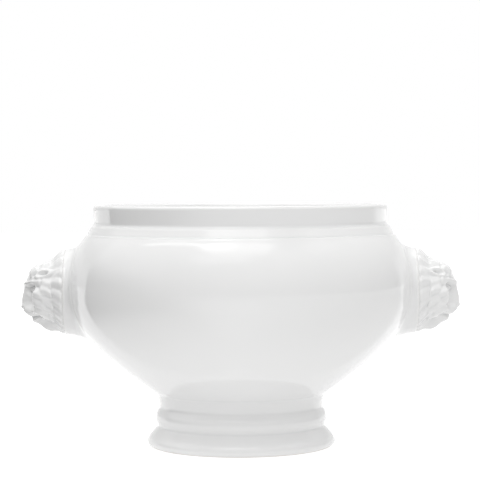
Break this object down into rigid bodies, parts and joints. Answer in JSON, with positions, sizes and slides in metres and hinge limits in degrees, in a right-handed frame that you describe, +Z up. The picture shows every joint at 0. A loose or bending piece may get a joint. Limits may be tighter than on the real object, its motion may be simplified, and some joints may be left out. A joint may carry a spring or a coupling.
{
  "type": "footed soup crock",
  "caption": "Footed porcelain soup crock with a wide open mouth, a rounded belly, a moulded pedestal foot and a lion head in relief on each side as a grip.",
  "frame": {"origin": "on the table, under the middle of the bowl", "axes": "+Z up along the bowl's axis, +X towards the right-hand lion head"},
  "size_m": [0.18, 0.1414, 0.0985],
  "materials": {
    "glazed_porcelain": "glossy clear glaze on white porcelain"
  },
  "bodies": {
    "root": {"bowl": "glazed_porcelain", "pedestal_foot": "glazed_porcelain", "lion_head_left": "glazed_porcelain", "lion_head_right": "glazed_porcelain"}
  },
  "joints": []
}
